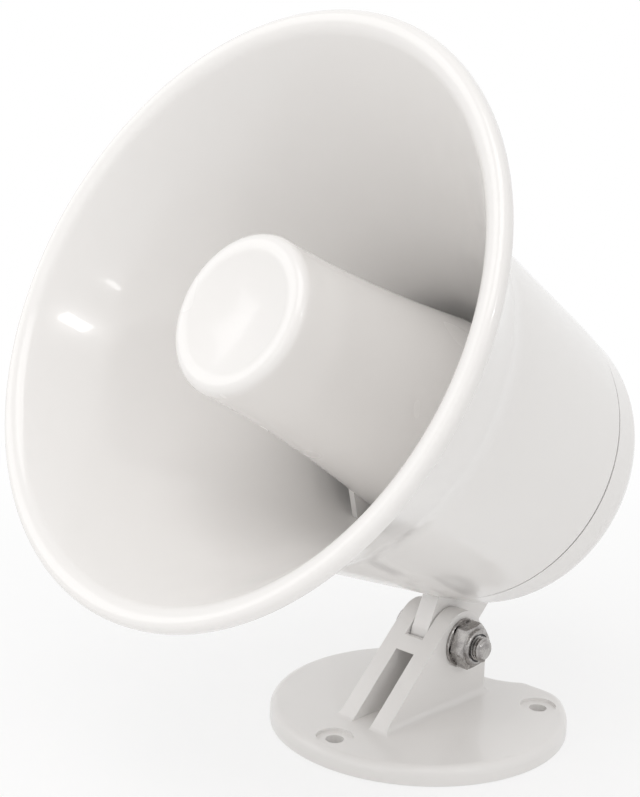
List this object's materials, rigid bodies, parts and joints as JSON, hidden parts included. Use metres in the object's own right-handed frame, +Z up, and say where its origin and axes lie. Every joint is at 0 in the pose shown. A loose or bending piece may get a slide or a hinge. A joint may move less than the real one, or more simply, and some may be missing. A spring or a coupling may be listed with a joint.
{
  "type": "pa horn speaker",
  "caption": "Small white re-entrant horn loudspeaker with a flared bell and a reflector plug, tilting on a round screw-down foot.",
  "frame": {"origin": "middle of the foot's underside, under the centre of its round outline", "axes": "+Z up out of the mounting surface, the horn fires towards -Y and 26 degrees up at rest, the pivot bolt lies along X with its nut at +X"},
  "size_m": [0.128, 0.1388, 0.1626],
  "materials": {
    "white_plastic": "moulded, glossy",
    "white_plastic_plug": "moulded, glossy",
    "tube_plastic": "moulded, satin",
    "dark_plastic": "moulded, satin",
    "film": "thin formed film, satin",
    "sleeve": "thin wound film",
    "copper": "enamelled wire",
    "plated_steel": "zinc plated",
    "ferrite": "sintered, dark grey",
    "stainless": "turned and rolled, bright",
    "nylon": "moulded, satin",
    "soft_rubber": "matt",
    "fibre_board": "pressed fibre, matt",
    "tinned_brass": "tinned"
  },
  "bodies": {
    "foot": {"bracket": "white_plastic", "hinge_bolt": "stainless", "hinge_washers": "stainless", "lock_nut": "stainless", "nut_insert": "nylon"},
    "horn": {"horn_bell": "white_plastic", "rear_cover": "white_plastic", "reflector_plug": "white_plastic_plug", "throat_tube": "tube_plastic", "diaphragm_ring": "dark_plastic", "phase_plug": "dark_plastic", "diaphragm": "film", "voice_coil_former": "sleeve", "voice_coil": "copper", "top_plate": "plated_steel", "yoke": "plated_steel", "magnet": "ferrite", "driver_screws": "plated_steel", "cover_screws": "stainless", "driver_gasket": "soft_rubber", "cover_gasket": "soft_rubber", "cable_grommet": "soft_rubber", "terminal_board": "fibre_board", "solder_tags": "tinned_brass"}
  },
  "joints": [
    {"name": "horn_tilt", "type": "hinge", "parent": "foot", "child": "horn", "pos_m": [0, 0.0069, 0.0194], "axis": [-1, 0, 0], "range_deg": [-26, 54]}
  ]
}
